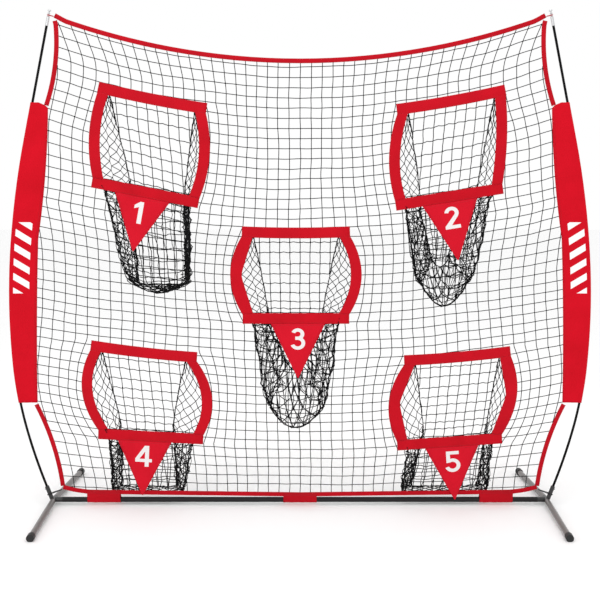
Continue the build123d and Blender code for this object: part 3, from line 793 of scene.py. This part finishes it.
# The inner edge comes to a point where these rims are pulled out hardest.
pointed_sides = {(3, -1), (5, -1), (5, 1)}
rim_inner = {}
for number, shape in rim_corners.items():
    low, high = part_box(f"pocket_rim_{number}")
    rim_y = (low.y + high.y) / 2
    across_top = (shape["tr"] - shape["tl"]).normalized()
    across_low = (shape["br"] - shape["bl"]).normalized()
    down_top = Vector((across_top.y, -across_top.x))
    up_low = Vector((-across_low.y, across_low.x))
    inner = {
        "tl": shape["tl"] + (across_top + down_top) * rim_width,
        "tr": shape["tr"] + (down_top - across_top) * rim_width,
        "bl": shape["bl"] + (across_low + up_low) * rim_width,
        "br": shape["br"] + (up_low - across_low) * rim_width,
        "left": shape["left"] + Vector((rim_width, 0)),
        "right": shape["right"] - Vector((rim_width, 0)),
    }
    rim_inner[number] = inner
    sag = Vector((0, -0.006))
    top_middle = (shape["tl"] + shape["tr"]) / 2 + sag
    low_middle = (shape["bl"] + shape["br"]) / 2 + up_low * 0.001
    edge = up_low * rim_overhang
    top_line = curve_through(shape["tl"], top_middle, shape["tr"], 34)
    low_line = curve_through(shape["bl"] - edge, low_middle - edge * 2, shape["br"] - edge, 34)
    strips = [("top", top_line, beside(top_line, -rim_width)),
              ("bottom", low_line, beside(low_line, rim_width))]
    for word, upper, lower, side in (("left", "tl", "bl", -1), ("right", "tr", "br", 1)):
        start = shape[upper] + down_top * (rim_width * side_start)
        end = shape[lower] + up_low * (rim_width * side_start)
        outer_line = curve_through(start, shape[word], end, 34)
        bend = bent_line if (number, side) in pointed_sides else curve_through
        inner_line = bend(inner[upper] - down_top * 0.006, inner[word], inner[lower] - up_low * 0.006, 34)
        strips.append((word, outer_line, inner_line))
    lines = []
    for word, sewn, fold in strips:
        gap = rim_gap if word in ("top", "bottom") else rim_gap - 0.0016
        strip, flat, rows_sewn = folded_strip(
            f"rim_{number}_{word}", sewn, fold, gap, rim_wall, rim_cloth, 0.0005, middle_y=rim_y)
        place_piece(strip, "frame", "red_webbing", f"pocket_rim_{number}")
        lines += rows_sewn
    sew(f"rim_{number}_stitches", lines, "frame", "red_webbing")

# ---- Pocket bags --------------------------------------------------------------
# Bags of the same cord behind the openings: a back panel, a strip on the bias all
# round it, and a front panel below the rim. The seams are laced with extra cord.

bag_pitch = 0.050
strip_columns = 6
strip_step = 0.027
# How each bag hangs: how far its left and right back seams lie inside the mouth's lower corners, how far
# above the foot they end, and how deep the foot sags.
bag_hang = {
    1: (0.090, 0.045, 0.03, 0.07), 2: (0.095, 0.030, 0.22, 0.12), 3: (0.065, 0.070, 0.30, 0.10),
    4: (0.015, 0.125, 0.02, 0.0), 5: (0.105, -0.015, 0.02, 0.0),
}
# The front edges lie behind the rims, this far outside their inner edges. A bag whose foot is lower than
# ground_reach folds it forward to this share of its depth.
edge_cover = 0.012
ground_reach = 0.1
ground_fold = 0.45


def smooth_key(keys, v):
    """A point on a smooth line through (v, (x, y, z)) keys."""
    places = [k[0] for k in keys]
    at = min(max(np.searchsorted(places, v) - 1, 0), len(keys) - 2)
    span = places[at + 1] - places[at]
    t = (v - places[at]) / span
    a, b = Vector(keys[at][1]), Vector(keys[at + 1][1])
    before = Vector(keys[max(at - 1, 0)][1])
    after = Vector(keys[min(at + 2, len(keys) - 1)][1])
    start_way = (b - before) * 0.5
    end_way = (after - a) * 0.5
    return (a * (2 * t ** 3 - 3 * t ** 2 + 1) + start_way * (t ** 3 - 2 * t ** 2 + t)
            + b * (3 * t ** 2 - 2 * t ** 3) + end_way * (t ** 3 - t ** 2))


def bag_keys(number, side):
    """The front edge and the back seam of one side of a bag, from the mouth's top (0) past its lower edge (1)
    to the foot (2)."""
    shape, inner = rim_corners[number], rim_inner[number]
    upper, lower, word = ("tl", "bl", "left") if side < 0 else ("tr", "br", "right")
    low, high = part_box(f"pocket_bag_{number}")
    foot = [v.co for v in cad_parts[f"pocket_bag_{number}"].data.vertices if v.co.z < low.z + 0.003]
    foot_x = (max if side > 0 else min)(p.x for p in foot)
    foot_front = min(p.y for p in foot)
    foot_share = ground_fold if low.z < ground_reach else 1.0
    foot_back = foot_front + (max(p.y for p in foot) - foot_front) * foot_share
    foot_middle = sum(p.x for p in foot) / len(foot)
    tuck = bag_hang[number][0 if side < 0 else 1]
    rise, sag = bag_hang[number][2:]
    face_y, back_y = net_y + 0.004, high.y - 0.012
    top, corner, bulge = inner[upper], inner[lower], inner[word]
    seam_x = corner.x - side * tuck
    rim_low = shape[lower].y
    hang = rim_low - low.z
    front = [
        (0.0, (top.x + side * edge_cover, face_y, top.y + edge_cover)),
        (0.5, (bulge.x + side * edge_cover, face_y, bulge.y)),
        (1.0, (corner.x + side * edge_cover, face_y, corner.y)),
        (1.3, (corner.x * 0.85 + foot_x * 0.15, face_y + 0.003, rim_low - hang * 0.12)),
        (1.7, (corner.x * 0.35 + foot_x * 0.65, foot_front * 0.5 + face_y * 0.5 + 0.004,
               low.z + hang * 0.35)),
        (2.0, (foot_x - side * 0.004, foot_front + 0.008, low.z + sag + 0.006)),
    ]
    narrow = foot_middle + (foot_x - foot_middle) * (0.35 if rise > 0.1 else 0.8)
    back = [
        (0.0, (top.x, face_y + 0.006, top.y + edge_cover)),
        (0.5, (top.x * 0.45 + seam_x * 0.55, face_y + (back_y - face_y) * 0.52, (top.y + corner.y) / 2)),
        (1.0, (seam_x, back_y - 0.004, corner.y)),
        (1.3, (seam_x * 0.85 + narrow * 0.15, back_y - 0.002, rim_low - (hang - rise) * 0.12)),
        (1.7, (seam_x * 0.4 + narrow * 0.6, back_y * 0.4 + foot_back * 0.6 - 0.004,
               low.z + rise + (hang - rise) * 0.35)),
        (2.0, (narrow, foot_back - 0.008, low.z + rise + 0.008)),
    ]
    return front, back


def crumple(point, v, seed, strength=1.0):
    """The net is nearly taut in the mouth and crumples below it."""
    slack = 0.22 + 0.78 * min(max((v - 0.95) / 0.25, 0), 1)
    broad = Vector((point.x * 9, point.y * 9, point.z * 9 + seed * 17))
    tight = Vector((point.x * 31, point.y * 31, point.z * 31 - seed * 11))
    move = noise.noise_vector(broad) * 0.013 + noise.noise_vector(tight) * 0.009
    move.y = abs(move.y) if v < 0.2 else move.y
    return point + move * slack * strength * min(v / 0.1, 1)


def back_panel(keys, levels):
    """Square mesh that hangs plumb, cut off at its two seams in the mouth and drawn together below it."""
    left_x, right_x = (smooth_key(keys[side][1], 1.0).x for side in (-1, 1))
    top_left, top_right = keys[-1][1][0][1][0], keys[1][1][0][1][0]
    first, last = min(left_x, top_left), max(right_x, top_right)
    runs = []

    def place(share, x, v):
        left, right = smooth_key(keys[-1][1], v), smooth_key(keys[1][1], v)
        u = share if v > 1 else (x - left.x) / (right.x - left.x)
        point = left.lerp(right, u)
        point.y -= 0.010 * math.sin(math.pi * min(max(u, 0), 1))
        return u, crumple(point, v, 1, 0.6 if v > 1 else 1.0)

    for x in np.arange(first + bag_pitch * 0.6, last, bag_pitch):
        share = (x - left_x) / (right_x - left_x)
        run = []
        for v in np.linspace(0, 2, (len(levels) - 1) * 4 + 1):
            u, point = place(share, x, v)
            if 0 <= u <= 1:
                run.append((*point, min(abs(v - level) for level in levels) < 1e-6))
        if len(run) > 1:
            runs.append(run)
    for v in levels[1:]:
        left, right = smooth_key(keys[-1][1], v), smooth_key(keys[1][1], v)
        count = max(round((right.x - left.x) / bag_pitch), 1) * 4
        run = []
        for i in range(count + 1):
            x = left.x + (right.x - left.x) * i / count
            point = place(i / count, x, v)[1]
            point.z -= 0.004 * abs(math.sin(math.pi * (x - first) / bag_pitch))
            run.append((*point, False))
        runs.append(run)
    return runs


def front_panel(number, keys, levels):
    """Square mesh from the rim's lower edge down to the foot, whose middle sags lowest."""
    sag = bag_hang[number][3]
    shown = [v for v in levels if v >= 1]
    width = keys[1][0][2][1][0] - keys[-1][0][2][1][0]
    count = round(width / bag_pitch)

    def place(u, v):
        point = smooth_key(keys[-1][0], v).lerp(smooth_key(keys[1][0], v), u)
        point.z -= sag * max(v - 1.2, 0) / 0.8 * math.sin(math.pi * u) ** 0.8
        point.y += 0.012 * math.sin(math.pi * u)
        return crumple(point, v, number + 20)

    across = [[(*place(i / (count * 3), v), False) for i in range(count * 3 + 1)] for v in shown]
    fine = np.linspace(1, 2, (len(shown) - 1) * 3 + 1)
    down = [[(*place(i / count, v), k % 3 == 0) for k, v in enumerate(fine)] for i in range(count + 1)]
    return across + down


def bias_strip(edge, seam, steps, seed, fullness):
    """Diamond mesh between two lines given by v: the strip round the back panel. It is fuller than the
    space it hangs in, so it lies in pleats."""
    def place(j, c):
        v, u = 2 * j / steps, c / strip_columns
        ripple = math.sin(math.pi * u) * min(v, 1)
        point = edge(v).lerp(seam(v), u)
        point += Vector((math.sin(c * 2.4 + seed), math.cos(c * 1.9 + seed), 0)) * fullness * ripple
        return crumple(point, v, seed, 0.4 + math.sin(math.pi * u))

    runs = []
    for start in range(-strip_columns, steps + 1, 2):
        for way in (1, -1):
            run = []
            for c in range(strip_columns + 1):
                j = start + c
                if 0 <= j <= steps:
                    run.append((*place(j, c if way > 0 else strip_columns - c), True))
            if len(run) > 1:
                runs.append(run)
    return runs


def foot_strip(number, keys, layers):
    """The strip's lowest stretch, under the back panel, from the left side to the right."""
    rise, sag = bag_hang[number][2:]
    corners = [smooth_key(keys[side][which], 2.0) for which in (0, 1) for side in (-1, 1)]

    def edge_at(which, u):
        point = corners[which * 2].lerp(corners[which * 2 + 1], u)
        depth = sag if which == 0 else 0.04 * min(rise / 0.2, 1)
        point.z -= depth * math.sin(math.pi * u) ** 0.8
        return point

    steps = max(round((corners[1] - corners[0]).length / strip_step), 4)
    runs = []
    for seed in range(layers):
        runs += bias_strip(lambda v: edge_at(0, v / 2), lambda v: edge_at(1, v / 2), steps, seed + 31, 0.006)
    return runs, [[edge_at(which, u) for u in np.linspace(0, 1, 20)] for which in (0, 1)]


def laced(points, seed, strands, spread):
    """A seam laced with several cords that wind loosely round it."""
    runs = []
    for strand in range(strands):
        run = []
        for k, point in enumerate(points):
            wander = Vector((point.x * 43, point.y * 43 + strand * 9, point.z * 43 + seed))
            turn = k * 1.1 + strand * 2 * math.pi / strands
            round_it = Vector((math.cos(turn), math.sin(turn), 0)) * spread * 0.5
            run.append((*(point + round_it + noise.noise_vector(wander) * spread), k % 3 == strand % 3))
        runs.append(run)
    return runs


for number in range(1, 6):
    keys = {side: bag_keys(number, side) for side in (-1, 1)}
    low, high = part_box(f"pocket_bag_{number}")
    mouth_tall = keys[-1][0][0][1][2] - keys[-1][0][2][1][2]
    below_tall = keys[-1][0][2][1][2] - low.z
    levels = list(np.linspace(0, 1, round(mouth_tall / bag_pitch) + 1))
    levels += list(np.linspace(1, 2, max(round(below_tall / bag_pitch), 5) + 1))[1:]
    panels = back_panel(keys, levels) + front_panel(number, keys, levels)
    bag = grow(f"pocket_bag_cord_{number}", line_mesh("bag", panels), cord_group, {
        "Cord Radius": 0.0020, "Knot Radius": 0.0034, "Cord Sides": 4, "Material": net_cord})
    place_piece(bag, "frame", "net_cord", f"pocket_bag_{number}")

    steps = round((mouth_tall + below_tall) / strip_step)
    strips, seams = [], []
    for side in (-1, 1):
        def edge(v, line=keys[side][0]):
            return smooth_key(line, v)

        def seam(v, line=keys[side][1]):
            return smooth_key(line, v)

        strips += bias_strip(edge, seam, steps, number * 5 + side, 0.010)
        for layer, fullness in ((7, 0.016), (9, 0.022)):
            strips += [run for run in bias_strip(edge, seam, steps, number * layer + side, fullness)
                       if max(point[2] for point in run) < keys[side][0][2][1][2] - 0.03]
        for line in (edge, seam):
            mouth = [crumple(line(v), v, side + 3) for v in np.linspace(0, 1, 26)]
            hang = [crumple(line(v), v, side + 3) for v in np.linspace(1, 2, 30)]
            seams += laced(mouth, 1, 3, 0.003) + laced(hang, 5, 5, 0.008)
    on_ground = low.z < ground_reach
    under, foot_edges = foot_strip(number, keys, 1 if on_ground else 3)
    seams += laced(foot_edges[0], 9, 3 if on_ground else 5, 0.005)
    seams += laced(foot_edges[1], 13, 1 if on_ground else 4, 0.004)
    for label, runs, radius in (("strip", strips + under, 0.0019), ("seam", seams, 0.0018)):
        cord = grow(f"pocket_{label}_cord_{number}", line_mesh(label, runs), cord_group, {
            "Cord Radius": radius, "Knot Radius": 0.0028, "Cord Sides": 4, "Material": net_cord})
        place_piece(cord, "frame", "net_cord")

# ---- Flags --------------------------------------------------------------------
# A hemmed triangle of red polyester hangs from each rim's lower edge, with its
# number printed in white. It swings freely, so it rides on its own body.

flag_cloth = woven_red("woven_polyester_flag_red", "#c0081f", "#d51028", 0.0022, 0.66)[0]
print_white = grained("screen_print_ink_white", "#e4e0e0", 0.55, 1200.0)
flag_wall = 0.0007
flag_tuck = 0.002
flag_rows = 22
flag_across = 12
digit_drop = 0.077
digit_stretch = 1.12
ink_wall = 0.0004


def bowl(x, z, radius, start, end):
    """Points round an arc between two angles in degrees."""
    angles = np.radians(np.linspace(start, end, 18))
    return [(x + radius * math.cos(a), z + radius * math.sin(a)) for a in angles]


# Plain bold digits, 107 mm tall: the outlines of each about its middle, before digit_stretch widens them.
# Stretched, the strokes are about 16 to 22 mm wide.
digit_outlines = {
    1: [[(-0.004, 0.0535), (0.012, 0.0535), (0.012, -0.0535), (-0.007, -0.0535), (-0.007, 0.027),
         (-0.027, 0.017), (-0.027, 0.034)]],
    2: [bowl(0, 0.0225, 0.031, 172, -38)
        + [(-0.005, -0.0365), (0.033, -0.0365), (0.033, -0.0535), (-0.034, -0.0535), (-0.034, -0.040)]
        + bowl(0, 0.0225, 0.014, -38, 172)],
    3: [bowl(-0.001, 0.0246, 0.0289, 160, -40) + bowl(-0.001, -0.0206, 0.0329, 50, -160)
        + bowl(-0.001, -0.0206, 0.0164, -160, 90) + [(-0.012, -0.0042), (-0.012, 0.0122)]
        + bowl(-0.001, 0.0246, 0.0124, -90, 160)],
    4: [[(0.002, 0.0535), (0.022, 0.0535), (0.022, -0.014), (0.036, -0.014), (0.036, -0.030), (0.022, -0.030),
         (0.022, -0.0535), (0.004, -0.0535), (0.004, -0.030), (-0.039, -0.030), (-0.039, -0.013)],
        [(0.004, 0.024), (0.004, -0.014), (-0.020, -0.014)]],
    5: [[(0.029, 0.0535), (0.029, 0.037), (-0.011, 0.037), (-0.011, 0.0155)]
        + bowl(-0.001, -0.0185, 0.035, 106, -160)
        + bowl(-0.001, -0.0185, 0.018, -160, 125) + [(-0.028, -0.006), (-0.028, 0.0535)]],
}


def close_points(outline):
    """An outline with points no more than 6 mm apart."""
    points = []
    for (x, z), (next_x, next_z) in zip(outline, outline[1:] + outline[:1]):
        count = math.ceil(math.hypot(next_x - x, next_z - z) / 0.006)
        points += [(x + (next_x - x) * i / count, z + (next_z - z) * i / count) for i in range(count)]
    return points


def flag_frame(number):
    """The flag's top left, top right and tip, read off its CAD node."""
    points = [v.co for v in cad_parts[f"flag_{number}"].data.vertices]
    tip = min(points, key=lambda p: p.z)
    across = (rim_corners[number]["br"] - rim_corners[number]["bl"]).normalized()
    middle_y = sum(v.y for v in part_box(f"flag_{number}")) / 2
    left = min(points, key=lambda p: p.x * across.x + p.z * across.y)
    right = max(points, key=lambda p: p.x * across.x + p.z * across.y)
    up = Vector((-across.y, 0, across.x)) * flag_tuck
    return [Vector((p.x, middle_y, p.z)) for p in (left + up, right + up, tip)]


def flag_wave(number, point, t):
    """The flag bows a few millimetres towards the thrower, more at its tip, and stays flat at the seam."""
    ripple = noise.noise(Vector((point.x * 7, point.z * 5, number * 3.0)))
    return -(0.0045 * t * t + 0.0035 * t * (ripple + 0.4))


for number in range(1, 6):
    left, right, tip = flag_frame(number)
    wide, tall = (right - left).length, (tip - (left + right) / 2).length
    rings, uv_rings = [], []
    for i in range(flag_rows + 1):
        t = 0.985 * i / flag_rows
        a, b = left.lerp(tip, t), right.lerp(tip, t)
        ring, flat = [], []
        for k in range(flag_across + 1):
            point = a.lerp(b, k / flag_across)
            point.y += flag_wave(number, point, t)
            ring.append(point)
            flat.append((k / flag_across * (b - a).length + wide / 2 * t, t * tall))
        rings.append(ring)
        uv_rings.append(flat)
    pennant = cloth_grid(f"pennant_{number}", rings, uv_rings, flag_cloth, flag_wall)
    place_piece(pennant, f"flag_{number}", "flag_fabric", f"flag_{number}")

    lines = []
    centre = (left + right + tip) / 3
    corners = [corner.lerp(centre, 0.10) for corner in (left, right, tip)]
    for a, b in ((corners[0], corners[2]), (corners[2], corners[1]), (corners[0], corners[1])):
        line = []
        for s in np.linspace(0, 1, 30):
            point = a.lerp(b, s)
            t = (point - (left + right) / 2).dot((tip - (left + right) / 2).normalized()) / tall
            point.y += flag_wave(number, point, t) - flag_wall * 0.6
            line.append(tuple(point))
        lines.append(line)
    sew(f"pennant_stitches_{number}", lines, f"flag_{number}", "flag_fabric")

    across = (right - left).normalized()
    up = Vector((-across.z, 0, across.x))
    seat = (left + right) / 2 - up * digit_drop
    edit = bmesh.new()
    borders = []
    for outline in digit_outlines[number]:
        ring = []
        for x, z in close_points(outline):
            point = seat + across * x * digit_stretch + up * z
            point.y += flag_wave(number, point, (digit_drop - z) / tall) - flag_wall / 2 - ink_wall * 0.4
            ring.append(edit.verts.new(point))
        borders += [edit.edges.new(pair) for pair in zip(ring, ring[1:] + ring[:1])]
    bmesh.ops.triangle_fill(edit, use_beauty=True, edges=borders)
    mesh = bpy.data.meshes.new(f"flag_number_{number}")
    edit.to_mesh(mesh)
    edit.free()
    mesh.materials.append(print_white)
    digit = new_object(f"flag_number_{number}", mesh)
    outward_faces(digit)
    thicken(digit, ink_wall)
    place_piece(digit, f"flag_{number}", "flag_fabric")
